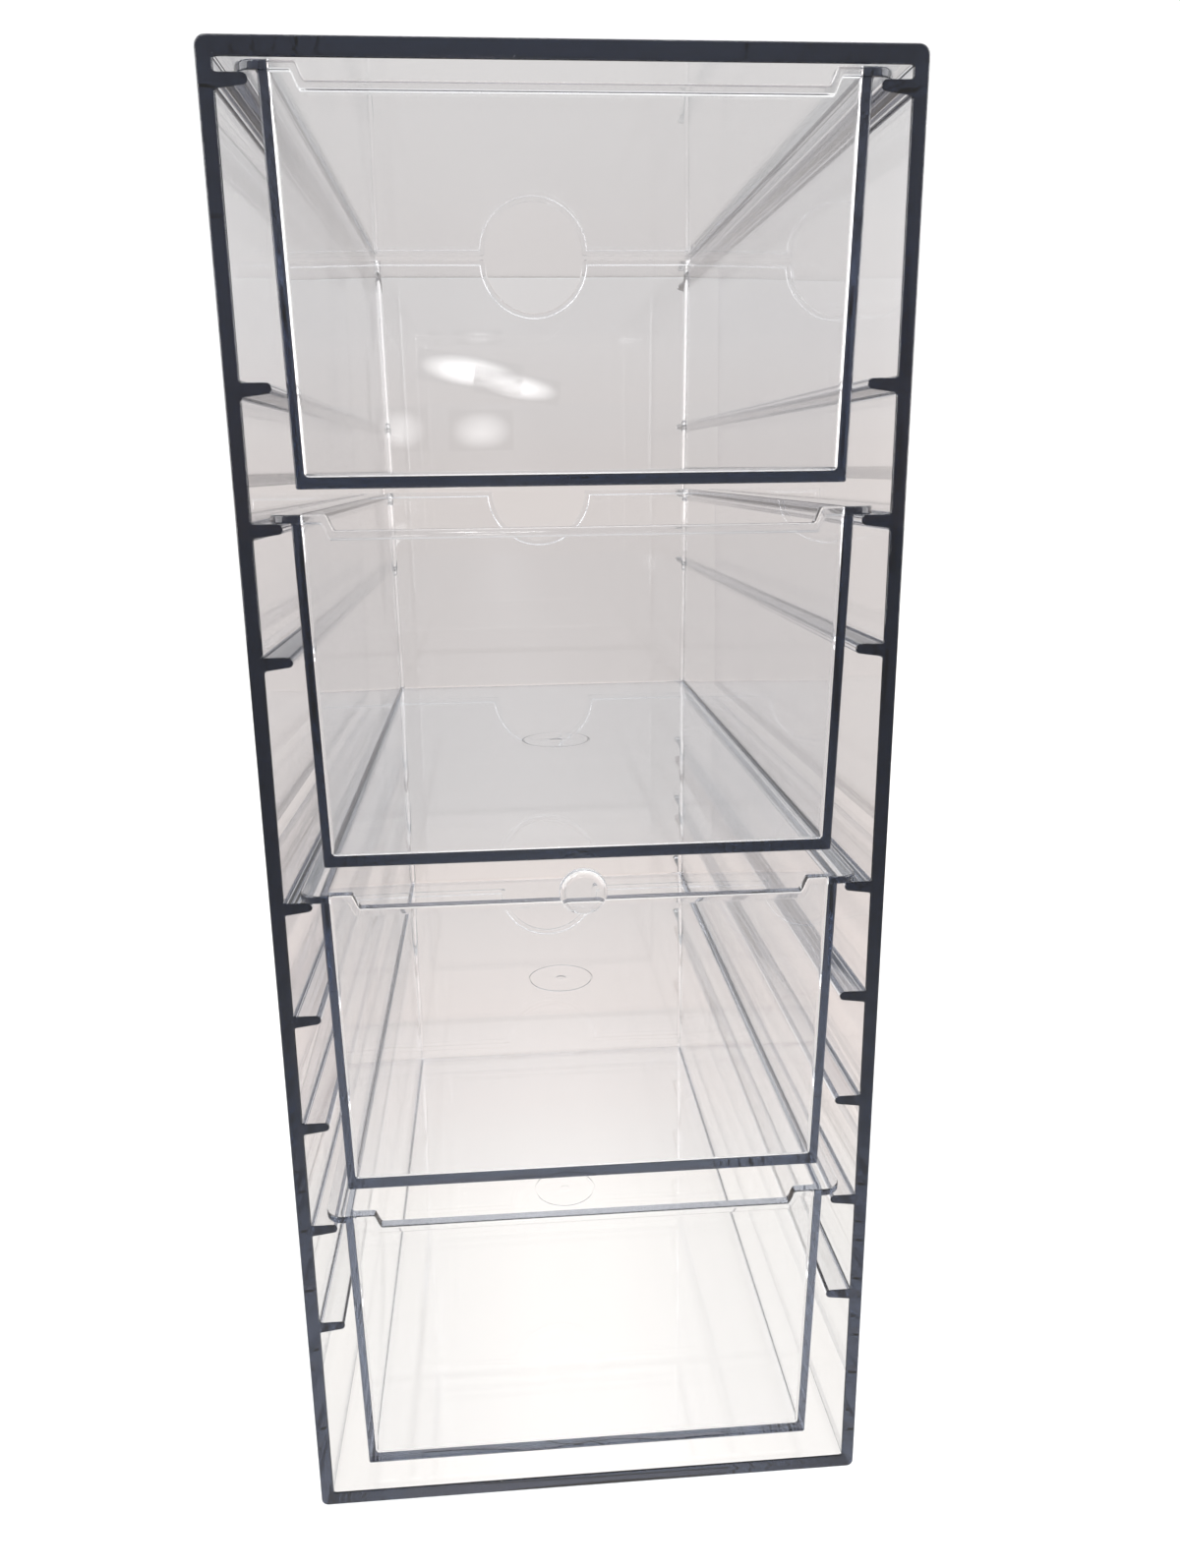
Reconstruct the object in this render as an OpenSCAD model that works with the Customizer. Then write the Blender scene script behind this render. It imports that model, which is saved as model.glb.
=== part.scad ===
// Clear moulded cosmetics chest: one open-fronted casing with moulded rails
// and four lift-out trays that hang from the rails by their side flanges.
// Millimetres. Origin at the bottom centre, front facing -Y, +Z up.

/* [Casing] */
// Width across the front edge of the casing
case_w = 120; // [116:1:130]
// Depth of the casing, front edge to back face
case_d = 232.8; // [230:0.2:250]
// Thickness of each side wall
side_t = 2.8; // [2.4:0.1:3.2]
// Thickness of the top wall
top_t = 3.2; // [2.6:0.1:4]
// Thickness of the bottom wall
bottom_t = 3.4; // [2.6:0.1:4]
// Thickness of the back wall
back_t = 2.8; // [2:0.1:4]
// Inward lean of each side wall towards the back, in degrees
case_taper = 0.6; // [0:0.02:0.6]
// Radius on the casing's long outer edges
edge_r = 1.1; // [0.6:0.1:1.6]
// Radius inside the mouth's corners
mouth_r = 0.5; // [0.3:0.1:1]

/* [Rails] */
// Height from one rail to the next
rail_pitch = 23.6; // [23.4:0.02:26]
// How far a rail stands in from the side wall at the mouth
rail_reach = 5.3; // [5:0.1:5.6]
// Thickness of a rail at the wall
rail_t = 2.5; // [2.2:0.1:2.8]
// Thickness of a rail at its rounded tip
rail_tip_t = 1.9; // [1.4:0.1:2]
// Gap between the top rail's centre and the ceiling
ceiling_gap = 3.45; // [3.4:0.05:6]
// Gap between the bottom tray and the casing's floor
floor_gap = 2.8; // [1:0.05:8]
// Length of the stop moulded on a rail behind each tray
stop_len = 2.4; // [1.6:0.1:5]
// Gap between that stop and the bottom tray's flange
stop_gap = 0.3; // [0.2:0.1:1]

/* [Trays] */
// Length of a tray at its rim, front to back
tray_len = 190.2; // [150:0.2:192]
// Depth of a tray below the centre of its rail
tray_drop = 63.8; // [40:0.05:65]
// Side gap between a rail's tip and the tray's wall
side_gap = 1.5; // [1.3:0.05:1.8]
// Outward lean of the tray's sides and back, in degrees
draft = 0.6; // [0:0.01:1.2]
// Forward lean of the tray's front wall, in degrees
front_lean = 3.1; // [0:0.1:4.5]
// Thickness of the tray's sides and back
wall_t = 1.45; // [1.2:0.05:1.8]
// Thickness of the tray's front wall
front_t = 1.5; // [1.3:0.1:2.4]
// How far the lip along the front rim stands out from the front wall
lip_out = 0.7; // [0.3:0.1:1]
// Height of that lip
lip_h = 1.5; // [1:0.1:2]
// Thickness of the tray's floor
floor_t = 2.0; // [1.5:0.1:3]
// Width of the flange that hangs on the rail
flange_w = 4.0; // [3.4:0.1:4]
// Thickness of the flange
flange_t = 1.5; // [1.2:0.1:1.6]
// Running gap between the flange and the rail's top face
ride_gap = 0.06; // [0.02:0.02:0.1]
// How far the front rim dips between its corner tabs
rim_dip = 2.8; // [1:0.1:6]
// Width of the tab left at each front corner
tab_w = 6; // [4:0.5:12]
// Radius of the finger notch in the back wall
notch_r = 15.4; // [8:0.2:20]
// Straight depth of that notch above its round end
notch_drop = 0.4; // [0.2:0.2:4]
// Radius inside the tray, round its floor
inner_r = 1.4; // [0.6:0.1:3]
// Radius outside the tray, round its underside
outer_r = 1.0; // [0.4:0.1:2]

/* [Tray positions] */
// Setback of the top tray's rim from the casing's mouth, below 0 when it stands proud
set_1 = -1.1; // [-2:0.1:1]
// Setback of the second tray's rim
set_2 = -1.2; // [-2:0.1:1]
// Setback of the third tray's rim
set_3 = -1.0; // [-2:0.1:1]
// Setback of the bottom tray's rim
set_4 = 0.1; // [-2:0.1:1]

/* [Pull stud] */
// Diameter of the round stud on the third tray's rim
stud_d = 9.4; // [8:0.1:9.8]
// Diameter of its flat face
stud_flat_d = 6.2; // [4:0.1:7]
// Thickness of the stud
stud_t = 2.0; // [1.5:0.1:3]
// Gap between the stud's top and the underside of the tray above
stud_gap = 0.3; // [0.3:0.05:1]

/* [Moulding marks] */
// Distance of the gate mark behind the tray's rim
gate_y = 103; // [60:1:120]
// Radius of the ring round the gate mark under each tray
gate_ring_r = 9; // [6:0.5:12]
// Width of that ring's groove
gate_groove_w = 0.5; // [0.3:0.1:0.8]
// Depth of that ring's groove
gate_groove_d = 0.3; // [0.1:0.1:0.5]

/* [Hidden] */
$fn = 64;

// rails that are moulded in, counted from the top; the rest are left out
RAILS = [0, 2, 3, 4, 6, 7, 8, 9, 10];
// the rail that each tray hangs on
SEATS = [0, 3, 6, 9];
SETS = [set_1, set_2, set_3, set_4];

mouth_x = case_w / 2 - side_t;       // inner half width at the mouth
tip_x = mouth_x - rail_reach;        // half distance between rail tips
zr9 = bottom_t + floor_gap + tray_drop;
zr0 = zr9 + 9 * rail_pitch;
case_h = zr0 + ceiling_gap + top_t;
lean = tan(case_taper);
td = tan(draft);
tf = tan(front_lean);

flange_z = rail_t / 2 + ride_gap;    // underside of the flange over the rail's centre
rim_z = flange_z + flange_t;         // top of the flange
wall_x = tip_x - side_gap;           // outer half width of a tray at its flange
tray_h = tray_drop + rim_z;
foot_x = wall_x - tray_h * td;       // outer half width at the underside
foot_y0 = lip_out + tray_h * tf;     // front of the underside, behind the rim's front
foot_y1 = tray_len - tray_h * td;    // back of the underside

// the stud sits on the third tray's lip and is the object's foremost point
stud_r = stud_d / 2;
stud_fr = stud_flat_d / 2;
stud_base = 0.4;
stud_z = zr0 - 3 * rail_pitch - tray_drop - stud_gap - stud_r;
STUD_ARC = [for (i = [0 : 6]) let (a = 90 * i / 6) [stud_fr + (stud_r - stud_fr) * cos(a), stud_base + (stud_t - stud_base) * sin(a)]];
stud_out = stud_t - set_3;
yf = -(case_d - stud_out) / 2;       // plane of the casing's mouth
yb = yf + case_d;                    // back face

function rail_z(i) = zr0 - i * rail_pitch;
function arc(c, r, a0, a1, n) = [for (i = [0 : n]) let (a = a0 + (a1 - a0) * i / n) [c[0] + r * cos(a), c[1] + r * sin(a)]];
function flip(p) = [for (i = [len(p) - 1 : -1 : 0]) [-p[i][0], p[i][1]]];

// one side of a leaning box section, with a rounded bottom corner
function lean_side(w, zb, zt, r, d) =
    concat(arc([w + (r * sin(d) - r) / cos(d), zb + r], r, -90, -d, 5), [[w + (zt - zb) * tan(d), zt]]);
// the whole section, from the left foot wl to the right foot wr
function lean_box(wl, wr, zb, zt, r, dl, dr) = concat(lean_side(wr, zb, zt, r, dr), flip(lean_side(-wl, zb, zt, r, dl)));

function round_rect(x, y0, y1, r) = concat(
    arc([x - r, y0 + r], r, -90, 0, 6), arc([x - r, y1 - r], r, 0, 90, 6),
    arc([r - x, y1 - r], r, 90, 180, 6), arc([r - x, y0 + r], r, 180, 270, 6));

module along_y(y0, y1) translate([0, y1, 0]) rotate([90, 0, 0]) linear_extrude(y1 - y0) children();
module along_x(x0, x1) translate([x0, 0, 0]) rotate([90, 0, 90]) linear_extrude(x1 - x0) children();

// ---- casing ----------------------------------------------------------------

// what is cut away to leave a rounded edge of radius r on a corner at the origin, along +Y
module cove(len, r) translate([0, -1, 0]) rotate([-90, 0, 0]) linear_extrude(len + 2)
    difference() { translate([-r, -r]) square([r + 1, r + 1]); translate([-r, -r]) circle(r); }

module case_plan(half_front, y0, y1, r) {
    half_back = half_front - (y1 - y0) * lean;
    polygon(concat([[half_front, y0]], arc([half_back - r, y1 - r], r, 0, 90, 5),
        arc([r - half_back, y1 - r], r, 90, 180, 5), [[-half_front, y0]]));
}

module case_outer() difference() {
    linear_extrude(case_h) case_plan(case_w / 2, yf, yb, edge_r);
    for (s = [-1, 1]) {
        translate([s * case_w / 2, yf, 0]) rotate([0, 0, s * case_taper]) mirror([s < 0 ? 1 : 0, 0, 0]) cove(case_d, edge_r);
        translate([s * case_w / 2, yf, case_h]) rotate([0, 0, s * case_taper]) mirror([s < 0 ? 1 : 0, 0, 0]) mirror([0, 0, 1]) cove(case_d, edge_r);
    }
    translate([case_w / 2, yb, 0]) rotate([0, 0, 90]) cove(case_w, edge_r);
    translate([case_w / 2, yb, case_h]) rotate([0, 0, 90]) mirror([0, 0, 1]) cove(case_w, edge_r);
}

module case_cavity() intersection() {
    translate([0, 0, bottom_t]) linear_extrude(case_h - bottom_t - top_t)
        case_plan(mouth_x + lean, yf - 1, yb - back_t, 0.8);
    along_y(yf - 2, yb) polygon(concat(
        arc([mouth_x - mouth_r, bottom_t + mouth_r], mouth_r, -90, 0, 4),
        arc([mouth_x - mouth_r, case_h - top_t - mouth_r], mouth_r, 0, 90, 4),
        arc([mouth_r - mouth_x, case_h - top_t - mouth_r], mouth_r, 90, 180, 4),
        arc([mouth_r - mouth_x, bottom_t + mouth_r], mouth_r, 180, 270, 4)));
}

// one rail's section: flat on top, tapered underneath, with a round tip
module rail_section() {
    r = rail_tip_t / 2;
    polygon(concat([[case_w / 2, rail_t / 2]], [[case_w / 2, -rail_t / 2], [mouth_x, -rail_t / 2]],
        arc([tip_x + r, rail_t / 2 - r], r, 270, 90, 8)));
}

module rails() for (i = RAILS) translate([0, 0, rail_z(i)]) for (s = [0, 1]) mirror([s, 0, 0])
    along_y(yf, yb) rail_section();

// stops that a tray's flange meets when it is pushed home
module stops() for (i = SEATS) translate([0, 0, rail_z(i)]) for (s = [0, 1]) mirror([s, 0, 0])
    translate([tip_x + 0.6, yf + max(SETS) + tray_len + stop_gap, 0]) cube([case_w / 2 - tip_x - 0.6, stop_len, rim_z]);

module casing() color([0.80, 0.82, 0.85, 0.45]) difference() {
    case_outer();
    difference() { case_cavity(); rails(); stops(); }
}

// ---- trays -----------------------------------------------------------------

// height of the front rim across the tray, stepping down smoothly inside each corner tab
step_n = 8;
step_w = 1.7;
tab_x = wall_x - tab_w;
function step(s, out = 0, down = 0) = [for (i = [0 : step_n]) [s * (tab_x + out - step_w * i / step_n), rim_z - down - rim_dip * (1 - cos(180 * i / step_n)) / 2]];

// leaning box, from the front foot y0 to the back foot y1
module lean_solid(wx, y0, y1, zb, zt, r) intersection() {
    along_y(-5, tray_len + 5) polygon(lean_box(-wx, wx, zb, zt, r, draft, draft));
    along_x(-case_w, case_w) polygon(lean_box(y0, y1, zb, zt, r, front_lean, draft));
}

// the flange at the sides and back, its front flush with the lip
module tray_flange() translate([0, 0, flange_z]) linear_extrude(flange_t)
    polygon(round_rect(wall_x + flange_w, 0, tray_len, flange_w));

// lip along the front rim, of even height down the steps
module tray_lip() along_y(0, lip_out + 1) polygon(concat(
    [[wall_x, rim_z - lip_h]], step(1, lip_h * tan(29), lip_h), flip(step(1, lip_h * tan(29), lip_h)),
    [[-wall_x, rim_z - lip_h], [-wall_x, rim_z - 0.1], [wall_x, rim_z - 0.1]]));

module gate_mark() translate([0, gate_y, -tray_drop]) {
    difference() {
        translate([0, 0, -1]) cylinder(h = 1 + gate_groove_d, r = gate_ring_r + gate_groove_w / 2);
        translate([0, 0, -2]) cylinder(h = 4, r = gate_ring_r - gate_groove_w / 2);
    }
    difference() {
        translate([0, 0, -1]) cylinder(h = 1.4, r = 1.6);
        translate([0, 0, 0.15]) cylinder(h = 2, r = 0.6);
    }
}

// one tray: y = 0 is its rim's front, z = 0 the centre of its rail
module tray(i) translate([0, yf + SETS[i], rail_z(SEATS[i])]) difference() {
    union() {
        lean_solid(foot_x, foot_y0, foot_y1, -tray_drop, rim_z, outer_r);
        tray_flange();
        tray_lip();
    }
    lean_solid(foot_x + floor_t * td - wall_t / cos(draft),
        foot_y0 - floor_t * tf + front_t / cos(front_lean), foot_y1 + floor_t * td - wall_t / cos(draft),
        floor_t - tray_drop, rim_z + 2, inner_r);
    // dip in the front wall
    along_y(-1, front_t + 5) polygon(concat(step(1), flip(step(1)), [[-tab_x, rim_z + 1], [tab_x, rim_z + 1]]));
    // finger notch in the back wall
    translate([0, tray_len - 8, rim_z - notch_drop]) {
        rotate([-90, 0, 0]) cylinder(h = 12, r = notch_r);
        translate([-notch_r, 0, 0]) cube([2 * notch_r, 12, notch_drop + 1]);
    }
    gate_mark();
}

module top_drawer() color([0.78, 0.80, 0.83, 0.45]) tray(0);
module second_drawer() color([0.80, 0.82, 0.84, 0.45]) tray(1);
module third_drawer() color([0.82, 0.83, 0.85, 0.45]) tray(2);
module bottom_drawer() color([0.85, 0.86, 0.87, 0.45]) tray(3);

// ---- stud ------------------------------------------------------------------

module pull_stud() color([0.88, 0.89, 0.90, 0.5])
    translate([0, yf + set_3, stud_z]) rotate([90, 0, 0]) rotate_extrude()
        polygon(concat([[0, 0], [stud_r, 0]], STUD_ARC));

casing();
top_drawer();
second_drawer();
third_drawer();
bottom_drawer();
pull_stud();
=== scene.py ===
import math
import bmesh
import bpy
from mathutils import Matrix, Vector
from mathutils.geometry import tessellate_polygon


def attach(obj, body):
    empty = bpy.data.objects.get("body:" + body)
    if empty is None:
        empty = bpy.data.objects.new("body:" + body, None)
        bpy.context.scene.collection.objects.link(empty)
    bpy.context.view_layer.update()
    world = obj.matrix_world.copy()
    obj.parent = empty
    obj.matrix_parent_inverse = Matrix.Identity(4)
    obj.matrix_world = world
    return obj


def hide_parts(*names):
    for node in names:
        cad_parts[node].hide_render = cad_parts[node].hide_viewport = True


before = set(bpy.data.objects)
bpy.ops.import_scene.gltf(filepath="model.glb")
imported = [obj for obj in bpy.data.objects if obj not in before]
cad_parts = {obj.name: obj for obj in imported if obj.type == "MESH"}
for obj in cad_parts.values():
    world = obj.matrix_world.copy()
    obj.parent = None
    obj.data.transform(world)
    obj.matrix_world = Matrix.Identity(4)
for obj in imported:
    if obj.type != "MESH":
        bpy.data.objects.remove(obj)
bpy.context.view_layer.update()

scene = bpy.context.scene

# ---- the part's own numbers, in millimetres ----------------------------------
CASE_W, CASE_D, SIDE_T, TOP_T, BOTTOM_T, BACK_T = 120.0, 232.8, 2.8, 3.2, 3.4, 2.8
CASE_TAPER = math.tan(math.radians(0.6))
PITCH, REACH, RAIL_T, TIP_T = 23.6, 5.3, 2.5, 1.9
TRAY_L, DROP, SIDE_GAP = 190.2, 63.8, 1.5
WALL_T, FRONT_T, FLOOR_T = 1.45, 1.5, 2.0
LIP_OUT, LIP_H, FLANGE_W, DIP, TAB_W, STEP_W = 0.7, 1.5, 4.0, 2.8, 6.0, 1.7
NOTCH_R, NOTCH_DROP, NOTCH_CORNER, GATE_Y = 15.4, 0.4, 0.6, 103.0
RIM = RAIL_T / 2 + 0.06 + 1.5
TD = math.tan(math.radians(0.6))
TF = math.tan(math.radians(3.1))
RAILS = [0, 2, 3, 4, 6, 7, 8, 9, 10]
SEATS = [0, 3, 6, 9]
SETS = [-1.1, -1.2, -1.0, 0.1]
ZR0 = BOTTOM_T + 2.8 + DROP + 9 * PITCH
CASE_H = ZR0 + 3.45 + TOP_T
YF = -(CASE_D - 3.0) / 2
YB = YF + CASE_D
MOUTH_X = CASE_W / 2 - SIDE_T
TIP_X = MOUTH_X - REACH
WALL_X = TIP_X - SIDE_GAP
MM = 0.001


def deg(a):
    return math.radians(a)


class Shell:
    """Vertices in millimetres and faces, built from closed loops."""

    def __init__(self):
        self.v = []
        self.f = []

    def loop(self, pts):
        i = len(self.v)
        self.v.extend(pts)
        return list(range(i, i + len(pts)))

    def bridge(self, a, b):
        n = len(a)
        for i in range(n):
            j = (i + 1) % n
            self.f.append((a[i], a[j], b[j], b[i]))

    def fill(self, outer, *holes):
        idx = list(outer) + [i for h in holes for i in h]
        loops = [[Vector(self.v[i]) for i in part] for part in (outer, *holes)]
        for tri in tessellate_polygon(loops):
            self.f.append(tuple(idx[k] for k in tri))

    def rows(self, rows):
        loops = [self.loop(r) for r in rows]
        for a, b in zip(loops[:-1], loops[1:]):
            self.bridge(a, b)
        return loops


def make(name, shell, mat, body, nodes=(), sharp=38):
    me = bpy.data.meshes.new(name)
    me.from_pydata([(x * MM, y * MM, z * MM) for x, y, z in shell.v], [], shell.f)
    bm = bmesh.new()
    bm.from_mesh(me)
    bmesh.ops.remove_doubles(bm, verts=bm.verts, dist=3e-7)
    bmesh.ops.dissolve_degenerate(bm, edges=bm.edges, dist=2e-7)
    bmesh.ops.recalc_face_normals(bm, faces=bm.faces)
    if bm.calc_volume(signed=True) < 0:
        bmesh.ops.reverse_faces(bm, faces=bm.faces)
    open_edges = sum(1 for e in bm.edges if len(e.link_faces) != 2)
    bm.to_mesh(me)
    bm.free()
    print("MESH", name, len(me.vertices), len(me.polygons), "open edges", open_edges)
    for p in me.polygons:  # flat caps keep their own normal
        p.use_smooth = max(abs(c) for c in p.normal) < 0.9999995
    me.set_sharp_from_angle(angle=deg(sharp))
    me.materials.append(mat)
    ob = bpy.data.objects.new(name, me)
    scene.collection.objects.link(ob)
    wn = ob.modifiers.new("normals", "WEIGHTED_NORMAL")
    wn.keep_sharp = True
    wn.weight = 100
    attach(ob, body)
    if nodes:
        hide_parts(*nodes)
    return ob


# ---- casing --------------------------------------------------------------------
def wall_x(y):
    return MOUTH_X - (y - YF) * CASE_TAPER


def inner_profile():
    """The cavity's section as (a, b, z, s): x is a times the wall's place plus b; s scales its edge fillet."""
    r = 0.5
    right = [(1, -r + r * math.cos(deg(a)), BOTTOM_T + r + r * math.sin(deg(a)), 1) for a in range(-90, 1, 15)]
    tr = TIP_T / 2
    rr = 0.5
    for i in sorted(RAILS, reverse=True):
        z = ZR0 - i * PITCH
        zu = z - RAIL_T / 2
        for a in (0, 22.5, 45, 67.5, 90):
            right.append((1, -rr + rr * math.cos(deg(a)), zu - rr + rr * math.sin(deg(a)) + 0.07 * a / 90, 1 - 0.6 * a / 90))
        cx, cz = TIP_X + tr, z + RAIL_T / 2 - tr
        for k in range(0, 9):
            a = deg(270 - 22.5 * k)
            right.append((0, cx + tr * math.cos(a), cz + tr * math.sin(a), 0.35))
        zt = z + RAIL_T / 2
        for a in (0, 22.5, 45, 67.5, 90):
            right.append((1, -rr + rr * math.sin(deg(a)), zt + rr - rr * math.cos(deg(a)), 0.4 + 0.6 * a / 90))
    top = CASE_H - TOP_T
    right += [(1, -r + r * math.cos(deg(a)), top - r + r * math.sin(deg(a)), 1) for a in range(0, 91, 15)]
    return right + [(-a, -b, z, k) for a, b, z, k in reversed(right)]


def outer_profile():
    pts = []
    for cx, cz, a0 in ((1, 0, -90), (1, 1, 0), (-1, 1, 90), (-1, 0, 180)):
        r = 1.9 if cz else 1.5
        z = CASE_H - r if cz else r
        pts += [(cx, -cx * r + r * math.cos(deg(a0 + k * 11.25)), z + r * math.sin(deg(a0 + k * 11.25)), 1) for k in range(9)]
    return pts


def section(prof, half, y, off, dy=0.0):
    """The profile at depth y plus dy, pushed off outward; each point scales off and dy."""
    p = [(a * half + b, z) for a, b, z, _ in prof]
    n = len(p)
    out = []
    for i in range(n):
        (x0, z0), (x1, z1), (x2, z2) = p[i - 1], p[i], p[(i + 1) % n]
        n1, n2 = Vector((z1 - z0, x0 - x1)), Vector((z2 - z1, x1 - x2))
        if n1.length < 1e-9:
            n1 = n2
        if n2.length < 1e-9:
            n2 = n1
        n1.normalize()
        n2.normalize()
        m = (n1 + n2) / max(0.35, 1 + n1.dot(n2)) * off * prof[i][3]
        out.append((x1 + m.x, y + dy * prof[i][3], z1 + m.y))
    return out


PHI = (0, 22.5, 45, 67.5, 90)


def build_casing(mat):
    s = Shell()
    ip, op = inner_profile(), outer_profile()
    half_out = lambda y: CASE_W / 2 - (y - YF) * CASE_TAPER
    re, ro, rb = 0.45, 0.42, 0.3
    inner = [section(ip, wall_x(YF), YF, re * (1 - math.sin(deg(a))), re * (1 - math.cos(deg(a)))) for a in PHI]
    yi = YB - BACK_T
    for k in range(1, 4):
        y = YF + re + (yi - rb - YF - re) * k / 4
        inner.append(section(ip, wall_x(y), y, 0))
    inner += [section(ip, wall_x(yi), yi - rb * (1 - math.sin(deg(a))), -rb * (1 - math.cos(deg(a)))) for a in PHI]
    outer = [section(op, half_out(YF), YF + ro * (1 - math.cos(deg(a))), -ro * (1 - math.sin(deg(a)))) for a in PHI]
    for k in range(1, 4):
        y = YF + ro + (YB - 1.1 - YF - ro) * k / 4
        outer.append(section(op, half_out(y), y, 0))
    outer += [section(op, half_out(YB), YB - 1.1 * (1 - math.sin(deg(a))), -1.1 * (1 - math.cos(deg(a)))) for a in PHI]
    li = s.rows(inner)
    lo_ = s.rows(outer)
    s.fill(lo_[0], li[0])
    s.fill(li[-1])
    s.fill(lo_[-1])
    return make("casing_shell", s, mat, "casing", ["casing"])


def build_stops(mat):
    s = Shell()
    y0 = YF + 0.1 + TRAY_L + 0.3
    for i in SEATS:
        z = ZR0 - i * PITCH
        for sx in (-1, 1):
            rows = []
            x0, x1, z0, z1, b = TIP_X + 0.6, wall_x(y0 + 2.4) - 0.02, z + RAIL_T / 2 + 0.02, z + RAIL_T / 2 + 1.1, 0.3
            for y, o in ((y0, b), (y0 + b, 0), (y0 + 2.4 - b, 0), (y0 + 2.4, b)):
                ring = []
                for cx, cz in ((x0, z0), (x1, z0), (x1, z1), (x0, z1)):
                    ux, uz = (1 if cx == x0 else -1), (1 if cz == z0 else -1)
                    ring.append((sx * (cx + ux * o), y, cz + uz * o))
                rows.append(ring)
            loops = s.rows(rows)
            s.fill(loops[0])
            s.fill(loops[-1])
    return make("rail_stops", s, mat, "casing", sharp=20)


# ---- trays -----------------------------------------------------------------------
def tray_columns():
    """Columns round the tray, anticlockwise from the left end of the front: (kind, ...)."""
    tab = WALL_X - TAB_W
    cols = [("f", -45.9, 0, 0, -1, -45.9)]
    lean = math.tan(deg(29))
    steps = [(tab - STEP_W * i / 10, DIP * (1 - math.cos(math.pi * i / 10)) / 2) for i in range(11)]
    for x, d in steps:
        cols.append(("f", -x, d, -lean, -1, -x))
    for x in (-36, -24, -12, 0, 12, 24, 36):
        cols.append(("f", x, DIP, 0, -1, x))
    for x, d in reversed(steps):
        cols.append(("f", x, d, lean, -1, x))
    cols.append(("f", 45.9, 0, 0, -1, 45.9))
    seg = 8
    cols += [("c", 1, 0, -90 + 90 * k / seg) for k in range(seg + 1)]
    cols += [("s", 1, v) for v in (0.2, 0.4, 0.6, 0.8)]
    cols += [("c", 1, 1, 90 * k / seg) for k in range(seg + 1)]
    cols.append(("b", "top", 40, 0, 0, 40))
    cols += [("b", "corner", 1, a, 0, NOTCH_R + 0.5 + 2.0 * (180 - a) / 90) for a in (90, 112.5, 135, 157.5, 180)]
    n = 40
    for k in range(n + 1):
        a = 0.03 + (math.pi - 0.06) * k / n
        cols.append(("b", "round", 1, a, 0, NOTCH_R * math.cos(a)))
    cols += [("b", "corner", -1, a, 0, -NOTCH_R - 0.5 - 2.0 * (180 - a) / 90) for a in (180, 157.5, 135, 112.5, 90)]
    cols.append(("b", "top", -40, 0, 0, -40))
    cols += [("c", -1, 1, 90 + 90 * k / seg) for k in range(seg + 1)]
    cols += [("s", -1, v) for v in (0.8, 0.6, 0.4, 0.2)]
    cols += [("c", -1, 0, 180 + 90 * k / seg) for k in range(seg + 1)]
    return cols


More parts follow.
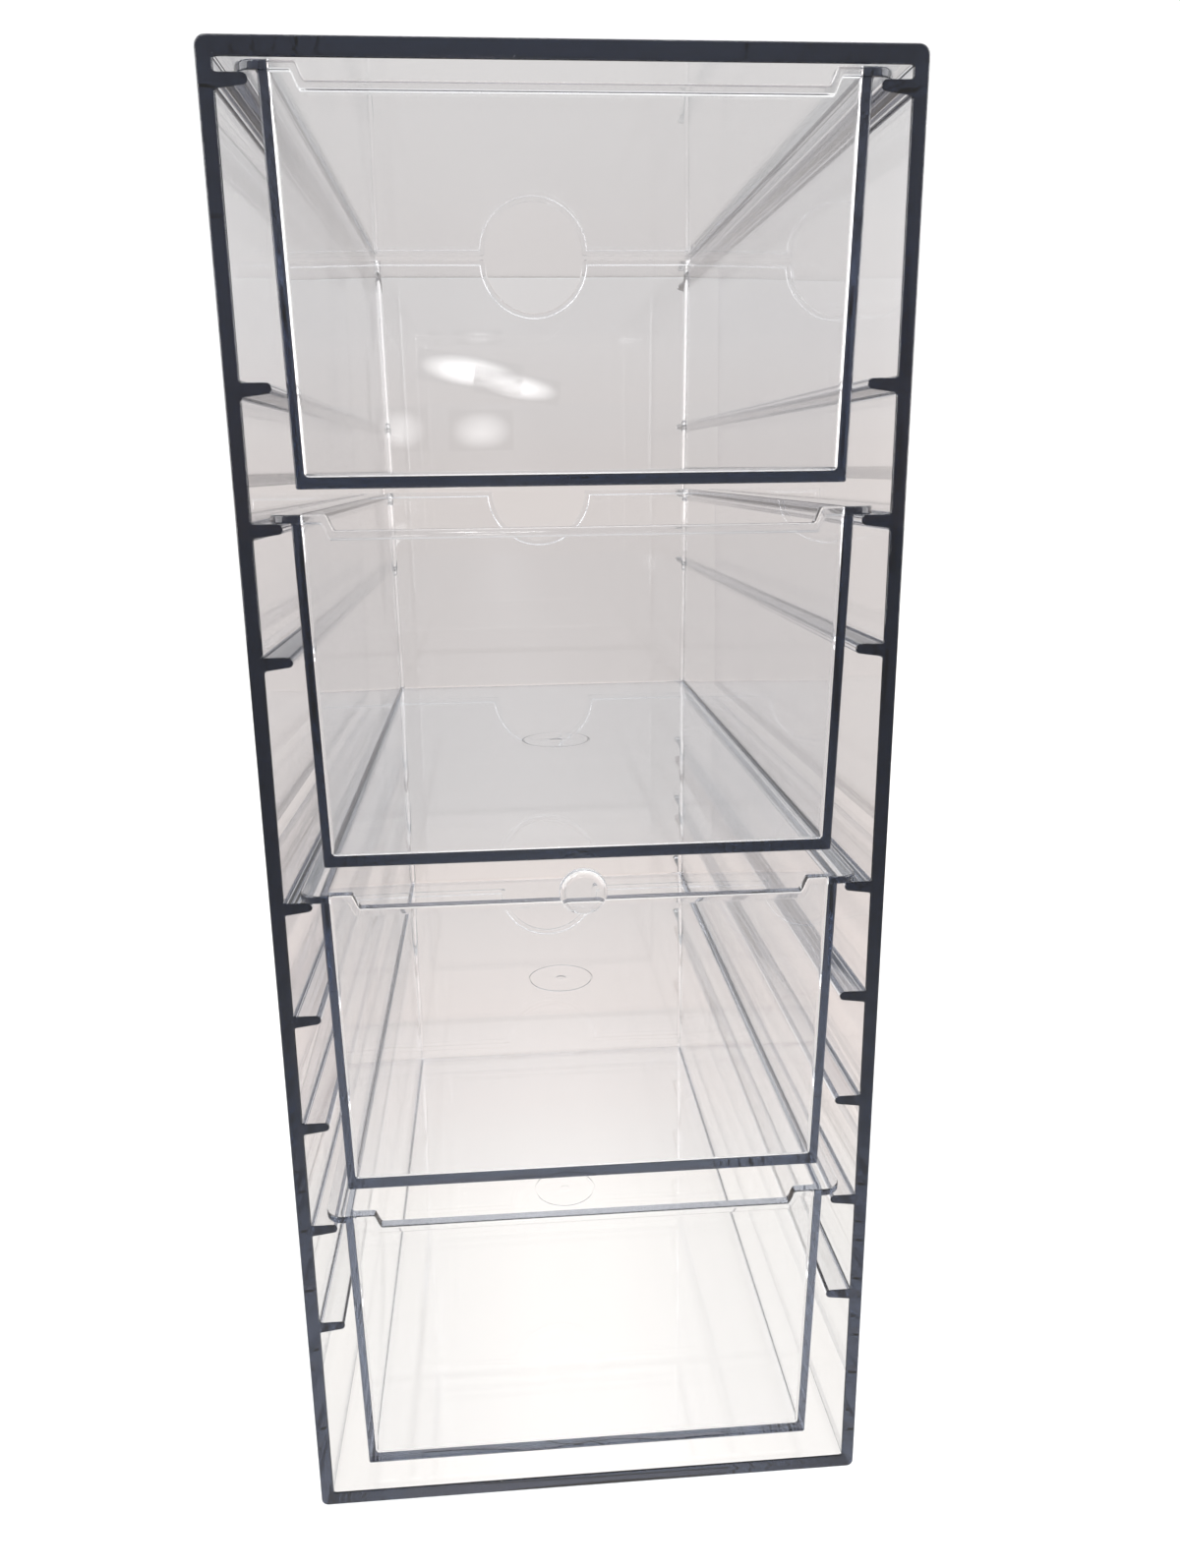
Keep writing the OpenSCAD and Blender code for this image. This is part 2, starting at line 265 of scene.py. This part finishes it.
def build_tray(name, k, mat):
    s = Shell()
    cols = tray_columns()
    zb, zf = -DROP, -DROP + FLOOR_T
    th = DROP + RIM
    fx, fy0, fy1 = WALL_X - th * TD, LIP_OUT + th * TF, TRAY_L - LIP_OUT - th * TD
    R_OUT, R_IN, RB_OUT, RB_IN = 0.5, 0.95, 1.3, 1.2

    def outer(z, inset=0.0):
        h = z - zb
        return fx + h * TD - inset, fy0 - h * TF + inset, fy1 + h * TD - inset, max(R_OUT - inset, 0.15), max(RB_OUT - inset, 0.15)

    def inner(z, inset=0.0):
        hx, y0, y1, _, _ = outer(z)
        return hx - WALL_T - inset, y0 + FRONT_T + inset, y1 - WALL_T - inset, max(R_IN - inset, 0.15), max(RB_IN - inset, 0.15)

    flange = (WALL_X + FLANGE_W, 0.0, TRAY_L, FLANGE_W, FLANGE_W)

    def place(c, plan, x=None):
        hx, y0, y1, r, rb = plan
        if c[0] == "f":
            return Vector((x, y0))
        if c[0] == "b":
            return Vector((x, y1))
        if c[0] == "s":
            return Vector((c[1] * hx, y0 + r + c[2] * (y1 - y0 - r - rb)))
        a = deg(c[3])
        q = rb if c[2] else r
        return Vector((c[1] * (hx - q) + q * math.cos(a), (y1 - q if c[2] else y0 + q) + q * math.sin(a)))

    def rim(c, t):
        """x and z at depth t below the rim, along the way into the plastic."""
        if c[0] == "f":
            return c[1] + c[3] * t, RIM - c[2] + c[4] * t
        if c[0] == "b" and c[1] != "top":
            q = NOTCH_CORNER
            meet = math.sqrt((NOTCH_R + t) ** 2 - (t - NOTCH_DROP) ** 2)
            if c[1] == "corner":
                if t < q:
                    a = deg(c[3])
                    return c[2] * (NOTCH_R + q + (q - t) * math.cos(a)), RIM - q + (q - t) * math.sin(a)
                return c[2] * meet, RIM - t
            x, d = (NOTCH_R + t) * math.cos(c[3]), NOTCH_DROP + (NOTCH_R + t) * math.sin(c[3])
            return (x, RIM - d) if d > t else (math.copysign(meet, x), RIM - t)
        return (c[2] if c[0] == "b" else None), RIM - t

    def toward(a, b, d):
        """d from a towards b."""
        v = b - a
        return a + v * (d / max(v.length, 1e-6))

    def row(kind, d, t):
        """kind w: d off the wall; e: d back from the flange's or lip's edge; i: d off the inner wall."""
        pts = []
        for c in cols:
            x, z = rim(c, t)
            w = place(c, outer(z), x)
            e = place(c, flange, x)
            n = place(c, inner(z), x)
            q = toward(w, e, d) if kind == "w" else toward(e, w, d) if kind == "e" else toward(n, w, d)
            pts.append((q.x, q.y, z))
        return pts

    def flat_row(which, z, inset=0.0):
        pts = []
        for c in cols:
            q = place(c, which(z, inset), c[5] if c[0] in "fb" else None)
            pts.append((q.x, q.y, z))
        return pts

    ro, ri, zm = 0.45, 0.75, -23.0
    rows = []
    for a in (0, 18, 36, 54, 72, 90):
        z = zb + ro * (1 - math.cos(deg(a)))
        rows.append(flat_row(outer, z, ro * (1 - math.sin(deg(a)))))
    rows.append(flat_row(outer, zm))
    arc = [(1 - math.sin(deg(a)), 1 - math.cos(deg(a))) for a in (0, 22.5, 45, 67.5, 90)]
    q, e, et, ei = 0.3, 0.25, 0.4, 0.22
    for u, v in arc:  # root under the flange
        rows.append(row("w", q * v, LIP_H + q * u))
    for u, v in arc:  # under the edge, turning up
        rows.append(row("e", e * u, LIP_H - e * v))
    for u, v in arc:  # up over the edge
        rows.append(row("e", et * v, et * u))
    for u, v in arc:
        rows.append(row("i", ei * u, ei * v))
    rows.append(row("i", 0, 2.2))
    rows.append(flat_row(inner, zm))
    for a in (0, 15, 30, 45, 60, 75, 90):
        z = zf + ri * (1 - math.sin(deg(a)))
        rows.append(flat_row(inner, z, ri * (1 - math.cos(deg(a)))))
    loops = s.rows(rows)
    s.fill(loops[-1])
    # the underside, with the gate mark and its ring
    def circle(r, z):
        return [(r * math.cos(2 * math.pi * j / 64), GATE_Y + r * math.sin(2 * math.pi * j / 64), z) for j in range(64)]
    marks = s.rows([circle(r, z) for r, z in ((9.4, zb), (9.25, zb + 0.02), (9.12, zb + 0.06), (9.0, zb + 0.08), (8.88, zb + 0.06), (8.75, zb + 0.02), (8.6, zb))])
    dip = s.rows([circle(r, z) for r, z in ((1.9, zb), (1.6, zb + 0.02), (1.3, zb + 0.06), (1.0, zb + 0.08), (0.7, zb + 0.07), (0.3, zb + 0.06))])
    s.fill(loops[0], marks[0])
    s.fill(marks[-1], dip[0])
    s.fill(dip[-1])
    dy, dz = YF + SETS[k], ZR0 - SEATS[k] * PITCH
    s.v = [(x, y + dy, z + dz) for x, y, z in s.v]
    return make(name + "_tray", s, mat, name, [name])


def build_stud(mat):
    s = Shell()
    r, fr, t = 4.7, 3.1, 2.0
    z = ZR0 - 3 * PITCH - DROP - 0.3 - r
    y = YF + SETS[2]
    prof = [(r - 0.15, 0.02), (r - 0.05, 0.06), (r, 0.16)]
    prof += [(fr + (r - fr) * math.cos(deg(a)), 0.4 + (t - 0.4) * math.sin(deg(a))) for a in range(0, 91, 10)]
    rows = [[(q * math.cos(2 * math.pi * j / 64), y - d, z + q * math.sin(2 * math.pi * j / 64)) for j in range(64)] for q, d in prof]
    loops = s.rows(rows)
    s.fill(loops[0])
    s.fill(loops[-1])
    return make("stud_dome", s, mat, "third_drawer", ["pull_stud"])


# ---- camera ---------------------------------------------------------------
cam_data = bpy.data.cameras.new("photo_camera")
cam = bpy.data.objects.new("photo_camera", cam_data)
scene.collection.objects.link(cam)
right = Vector((0.99684783, -0.07835056, -0.01247392))
up = Vector((0.03233911, 0.25770489, 0.96568234))
back = Vector((-0.07244716, -0.96304173, 0.25942635))
cam.matrix_world = Matrix((
    (right.x, up.x, back.x, -0.014559),
    (right.y, up.y, back.y, -0.330365),
    (right.z, up.z, back.z, 0.221843),
    (0, 0, 0, 1)))
cam_data.sensor_fit = "AUTO"
cam_data.sensor_width = 36.0 * 1595 / 1200
cam_data.lens = 36.013
cam_data.clip_start = 0.01
cam_data.clip_end = 20
scene.camera = cam


# ---- materials -------------------------------------------------------------
class Tree:
    """Small helper that builds a node tree."""

    def __init__(self, tree):
        self.t = tree
        tree.nodes.clear()

    def add(self, kind, _inputs=None, **props):
        n = self.t.nodes.new(kind)
        for k, v in props.items():
            setattr(n, k, v)
        for k, v in (_inputs or {}).items():
            if isinstance(v, bpy.types.NodeSocket):
                self.t.links.new(v, n.inputs[k])
            else:
                n.inputs[k].default_value = v
        return n

    def math(self, op, a, b=0.0, clamp=False):
        return self.add("ShaderNodeMath", {0: a, 1: b}, operation=op, use_clamp=clamp).outputs[0]


def clear_plastic(name, sigma, height_shade, ior=1.57, rough=0.0, wave=0.012, seed=0.0):
    m = bpy.data.materials.new(name)
    m.use_nodes = True
    t = Tree(m.node_tree)
    out = t.add("ShaderNodeOutputMaterial")
    geo = t.add("ShaderNodeNewGeometry")
    path = t.add("ShaderNodeLightPath")
    co = t.add("ShaderNodeTexCoord")
    # light is absorbed along the way inside; the height ramp scales it as painted shade, lighter towards the bottom
    inside = geo.outputs["Backfacing"]
    sep = t.add("ShaderNodeSeparateXYZ", {0: co.outputs["Object"]})
    height_shade_ramp = t.add("ShaderNodeValToRGB", {0: t.math("DIVIDE", sep.outputs[2], 0.29)})
    cr = height_shade_ramp.color_ramp
    for i, (z, v) in enumerate(height_shade):
        el = cr.elements[i] if i < 2 else cr.elements.new(z / 290)
        el.position = z / 290
        el.color = (v, v, v, 1)
    inside = t.math("MULTIPLY", inside, height_shade_ramp.outputs[0])
    chans = []
    for s in sigma:
        e = t.math("MULTIPLY", path.outputs["Ray Length"], -s)
        e = t.math("MULTIPLY", e, inside)
        chans.append(t.math("EXPONENT", e))
    col = t.add("ShaderNodeCombineColor", {0: chans[0], 1: chans[1], 2: chans[2]})
    # slow moulding ripples
    mp = t.add("ShaderNodeMapping", {"Vector": co.outputs["Object"], "Location": (seed, seed * 0.7, 0), "Scale": (1.0, 0.5, 0.6)})
    n1 = t.add("ShaderNodeTexNoise", {"Vector": mp.outputs[0], "Scale": 42.0, "Detail": 1.0, "Roughness": 0.4})
    b1 = t.add("ShaderNodeBump", {"Height": n1.outputs["Fac"], "Strength": wave, "Distance": 0.004})
    glass = t.add("ShaderNodeBsdfGlass", {"Color": col.outputs[0], "Roughness": rough, "IOR": ior, "Normal": b1.outputs[0]})
    clear = t.add("ShaderNodeBsdfTransparent", {"Color": (0.955, 0.96, 0.965, 1)})
    skip = t.math("MAXIMUM", path.outputs["Is Shadow Ray"], path.outputs["Is Diffuse Ray"])
    mix = t.add("ShaderNodeMixShader", {0: skip, 1: glass.outputs[0], 2: clear.outputs[0]})
    t.t.links.new(mix.outputs[0], out.inputs["Surface"])
    return m


# the casing's and drawers' height lists paint shade into the plastic: absorption scaled by height, lighter towards the
# bottom
m_case = clear_plastic("casing_plastic", (19.0, 17.5, 14.6), ((0, 0.56), (290, 0.85), (60, 0.84), (130, 1.05), (220, 1.0)), wave=0.003)
m_tray = clear_plastic("drawer_plastic", (19.0, 17.5, 14.6), ((0, 0.4), (290, 0.75), (40, 0.5), (95, 0.7), (142, 0.9), (160, 1.15), (230, 0.95)), seed=3.0)
m_stud = clear_plastic("stud_plastic", (12.0, 11.0, 10.0), ((0, 1.0), (290, 1.0)), seed=5.0)

build_casing(m_case)
build_stops(m_case)
for i, n in enumerate(("top_drawer", "second_drawer", "third_drawer", "bottom_drawer")):
    build_tray(n, i, m_tray)
build_stud(m_stud)


# ---- floor, world, lights ---------------------------------------------------
def stage_plane(name, pts, mat):
    me = bpy.data.meshes.new(name)
    me.from_pydata(pts, [], [tuple(range(len(pts)))])
    o = bpy.data.objects.new(name, me)
    scene.collection.objects.link(o)
    me.materials.append(mat)
    return o


fm = bpy.data.materials.new("floor")
fm.use_nodes = True
t = Tree(fm.node_tree)
out = t.add("ShaderNodeOutputMaterial")
co = t.add("ShaderNodeTexCoord")
n = t.add("ShaderNodeTexNoise", {"Vector": co.outputs["Object"], "Scale": 9.0, "Detail": 3.0})
mx = t.add("ShaderNodeMix", {0: n.outputs["Fac"], 6: (0.945, 0.94, 0.935, 1), 7: (0.955, 0.95, 0.947, 1)}, data_type="RGBA")
d = t.add("ShaderNodeBsdfDiffuse", {"Color": mx.outputs[2]})
# what the plastic shows of the floor is painted light and shade: a glow, white near the object, greyer far behind it
sep = t.add("ShaderNodeSeparateXYZ", {0: co.outputs["Object"]})
far = t.add("ShaderNodeMapRange", {0: sep.outputs[1], 1: -0.8, 2: 1.2}, clamp=True)
ramp = t.add("ShaderNodeValToRGB", {0: far.outputs[0]})
r = ramp.color_ramp
r.elements[0].position = 0.0
r.elements[0].color = (0.60, 0.60, 0.61, 1)
r.elements[1].position = 1.0
r.elements[1].color = (0.77, 0.715, 0.69, 1)
for y_, c_ in ((-0.5, (0.66, 0.66, 0.67, 1)), (-0.3, (0.9, 0.9, 0.9, 1)), (-0.16, (1.16, 1.13, 1.10, 1)), (-0.02, (1.2, 1.155, 1.10, 1)), (0.05, (1.09, 0.98, 0.92, 1)), (0.13, (0.93, 0.825, 0.775, 1)), (0.25, (0.84, 0.755, 0.715, 1)), (0.45, (0.78, 0.72, 0.69, 1))):
    r.elements.new((y_ + 0.8) / 2.0).color = c_
# painted shade: the glow is dimmer to the sides close to the object
edge = t.add("ShaderNodeMapRange", {0: t.math("ABSOLUTE", sep.outputs[0]), 1: 0.01, 2: 0.10, 3: 0.0, 4: 0.26}, clamp=True)
near = t.add("ShaderNodeMapRange", {0: sep.outputs[1], 1: -0.02, 2: 0.16, 3: 1.0, 4: 0.0}, clamp=True)
side_shade = t.math("SUBTRACT", 1.0, t.math("MULTIPLY", edge.outputs[0], near.outputs[0]))
em = t.add("ShaderNodeEmission", {"Color": ramp.outputs[0], "Strength": side_shade})
path = t.add("ShaderNodeLightPath")
seen = t.math("MAXIMUM", path.outputs["Is Transmission Ray"], path.outputs["Is Glossy Ray"])
ms = t.add("ShaderNodeMixShader", {0: seen, 1: d.outputs[0], 2: em.outputs[0]})
t.t.links.new(ms.outputs[0], out.inputs["Surface"])
floor = stage_plane("floor", [(-4, -4, -0.0003), (4, -4, -0.0003), (4, 4, -0.0003), (-4, 4, -0.0003)], fm)

world = bpy.data.worlds.new("studio")
scene.world = world
world.use_nodes = True
t = Tree(world.node_tree)
out = t.add("ShaderNodeOutputWorld")
co = t.add("ShaderNodeTexCoord")
path = t.add("ShaderNodeLightPath")
sep = t.add("ShaderNodeSeparateXYZ", {0: co.outputs["Generated"]})
ramp = t.add("ShaderNodeValToRGB", {0: t.math("ADD", t.math("MULTIPLY", sep.outputs[2], 0.5), 0.5)})
r = ramp.color_ramp
r.elements[0].position = 0.0
r.elements[0].color = (1.0, 0.99, 0.98, 1)
r.elements[1].position = 1.0
r.elements[1].color = (1.0, 1.0, 1.0, 1)
for p_, c_ in ((0.40, (0.77, 0.715, 0.69, 1)), (0.5, (0.77, 0.715, 0.69, 1)), (0.55, (0.79, 0.76, 0.75, 1)), (0.65, (0.79, 0.785, 0.78, 1))):
    r.elements.new(p_).color = c_
plain = t.math("MAXIMUM", path.outputs["Is Camera Ray"], path.outputs["Is Diffuse Ray"])
# the room in front of the object is dimmer
room = t.add("ShaderNodeMapRange", {0: sep.outputs[1], 1: -0.95, 2: 0.1, 3: 0.66, 4: 1.0}, clamp=True)
sides = t.add("ShaderNodeMapRange", {0: t.math("ABSOLUTE", sep.outputs[0]), 1: 0.3, 2: 0.97, 3: 1.0, 4: 2.5}, clamp=True)
dim = t.add("ShaderNodeMix", {0: 1.0, 6: ramp.outputs[0], 7: t.math("MULTIPLY", room.outputs[0], sides.outputs[0])}, data_type="RGBA", blend_type="MULTIPLY")
mixc = t.add("ShaderNodeMix", {0: plain, 6: dim.outputs[2], 7: (1.06, 1.06, 1.06, 1)}, data_type="RGBA")
bg = t.add("ShaderNodeBackground", {"Color": mixc.outputs[2], "Strength": 1.0})
t.t.links.new(bg.outputs[0], out.inputs["Surface"])


def area(name, loc, target, sx, sy, power, colour=(1, 1, 1)):
    l = bpy.data.lights.new(name, "AREA")
    l.shape = "RECTANGLE"
    l.size, l.size_y = sx, sy
    l.energy = power
    l.color = colour
    o = bpy.data.objects.new(name, l)
    scene.collection.objects.link(o)
    o.location = loc
    o.rotation_mode = "QUATERNION"
    o.rotation_quaternion = (Vector(target) - Vector(loc)).to_track_quat("-Z", "Y")
    return o


area("key", (-0.9, -1.3, 1.6), (0, 0, 0.12), 0.9, 0.9, 9.0)
area("top", (0.3, 0.2, 1.9), (0, 0, 0.1), 1.6, 1.6, 12.0)
area("strip_over", (0.0, -0.55, 1.5), (0, -0.1, 0.2), 1.6, 0.12, 1.2)
for name, x, y, w in (("soft_left", -1.3, -0.55, 16.0), ("soft_right", 1.3, -0.45, 14.0)):
    o = area(name, (x, y, 0.5), (0, -0.1, 0.2), 1.1, 1.5, w)
    o.visible_diffuse = False


def glow(name, loc, hx, hz, strength, tilt=0.0):
    """A soft bright patch of the room, seen only as a reflection."""
    me = bpy.data.meshes.new(name)
    me.from_pydata([(-hx, 0, -hz), (hx, 0, -hz), (hx, 0, hz), (-hx, 0, hz)], [], [(0, 1, 2, 3)])
    o = bpy.data.objects.new(name, me)
    scene.collection.objects.link(o)
    o.location = loc
    o.rotation_euler = (0, deg(tilt), 0)
    m = bpy.data.materials.new(name)
    m.use_nodes = True
    m.cycles.emission_sampling = "NONE"
    t = Tree(m.node_tree)
    out = t.add("ShaderNodeOutputMaterial")
    co = t.add("ShaderNodeTexCoord")
    sep = t.add("ShaderNodeSeparateXYZ", {0: co.outputs["Object"]})
    a = t.math("POWER", t.math("ABSOLUTE", t.math("DIVIDE", sep.outputs[0], hx)), 2.0)
    b = t.math("POWER", t.math("ABSOLUTE", t.math("DIVIDE", sep.outputs[2], hz)), 2.0)
    f = t.math("SUBTRACT", 1.0, t.math("ADD", a, b), clamp=True)
    n = t.add("ShaderNodeTexNoise", {"Vector": co.outputs["Object"], "Scale": 16.0, "Detail": 2.0})
    f = t.math("MULTIPLY", t.math("POWER", f, 1.5), t.math("ADD", n.outputs["Fac"], 0.5))
    em = t.add("ShaderNodeEmission", {"Strength": t.math("MULTIPLY", f, strength)})
    t.t.links.new(em.outputs[0], out.inputs["Surface"])
    me.materials.append(m)
    o.visible_camera = False
    o.visible_diffuse = False
    o.visible_transmission = False
    o.visible_shadow = False


glow("window_a", (-0.05, -2.0, 0.172), 0.085, 0.026, 13.0, tilt=9.0)
glow("window_d", (0.03, -2.0, 0.148), 0.075, 0.022, 11.0, tilt=9.0)
glow("window_b", (-0.165, -2.0, 0.080), 0.045, 0.036, 4.5)
glow("window_c", (-0.035, -2.0, 0.076), 0.05, 0.034, 5.0)

scene.view_settings.view_transform = "Standard"
scene.view_settings.look = "None"
scene.cycles.max_bounces = 48
scene.cycles.transmission_bounces = 48
scene.cycles.glossy_bounces = 48
scene.cycles.diffuse_bounces = 2
scene.cycles.transparent_max_bounces = 48
scene.cycles.caustics_reflective = False
scene.cycles.caustics_refractive = False
scene.cycles.sample_clamp_indirect = 6.0
scene.cycles.use_denoising = True
